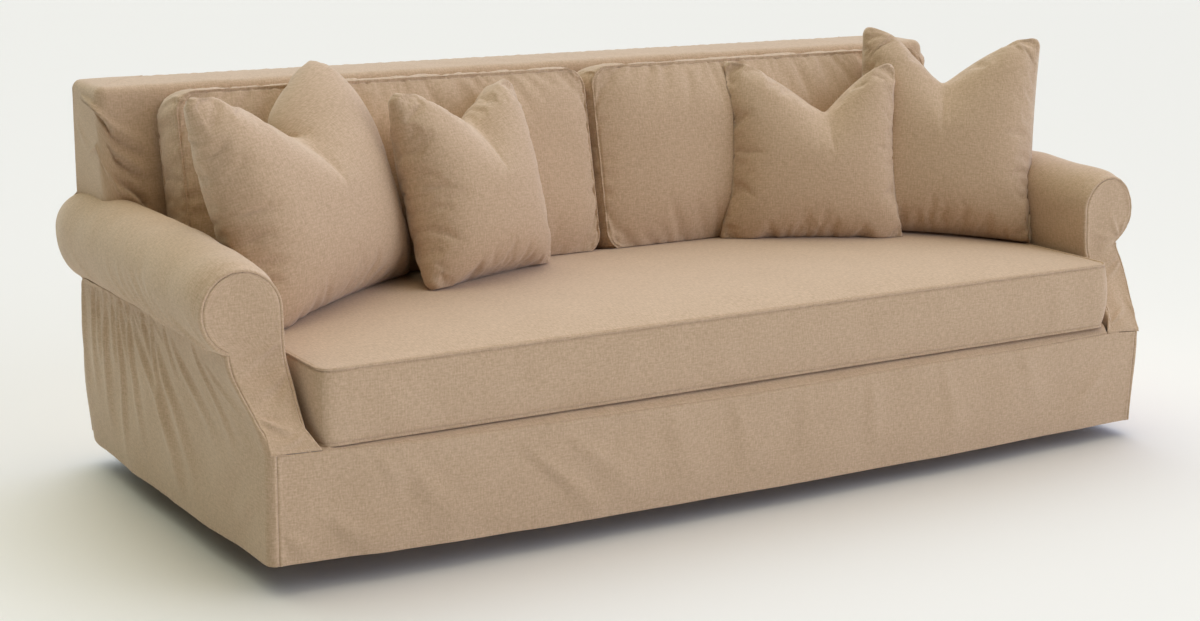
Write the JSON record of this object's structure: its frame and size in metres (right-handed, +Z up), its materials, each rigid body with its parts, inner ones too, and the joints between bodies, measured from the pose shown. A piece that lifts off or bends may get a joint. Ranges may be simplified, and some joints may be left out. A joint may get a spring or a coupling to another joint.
{
  "type": "sofa slipcover with its covered seat cushion, back cushions and scatter pillows",
  "caption": "Loose woven slipcover for a long rolled-arm sofa, with a skirt to near the floor, a boxed bench seat cushion, boxed back cushions and knife-edged pillows.",
  "frame": {"origin": "underside of the cloth at the middle of the top of the cover's back, where the sofa carries it; the floor is 0.912 m below", "axes": "+X to the viewer's right along the sofa, +Y to its back, +Z up"},
  "size_m": [2.4932, 1.086, 0.8939],
  "materials": {
    "linen": "matte plain-woven linen, washed and lightly creased"
  },
  "bodies": {
    "root": {"front_skirt": "linen", "deck": "linen", "outside_back": "linen", "inside_back": "linen", "arm_left": "linen", "arm_right": "linen", "outside_arm_left": "linen", "outside_arm_right": "linen", "arm_front_left": "linen", "arm_front_right": "linen", "seat_cushion": "linen", "back_cushion_left": "linen", "back_cushion_right": "linen", "pillow_left_large": "linen", "pillow_left_small": "linen", "pillow_right_small": "linen", "pillow_right_large": "linen"}
  },
  "joints": []
}
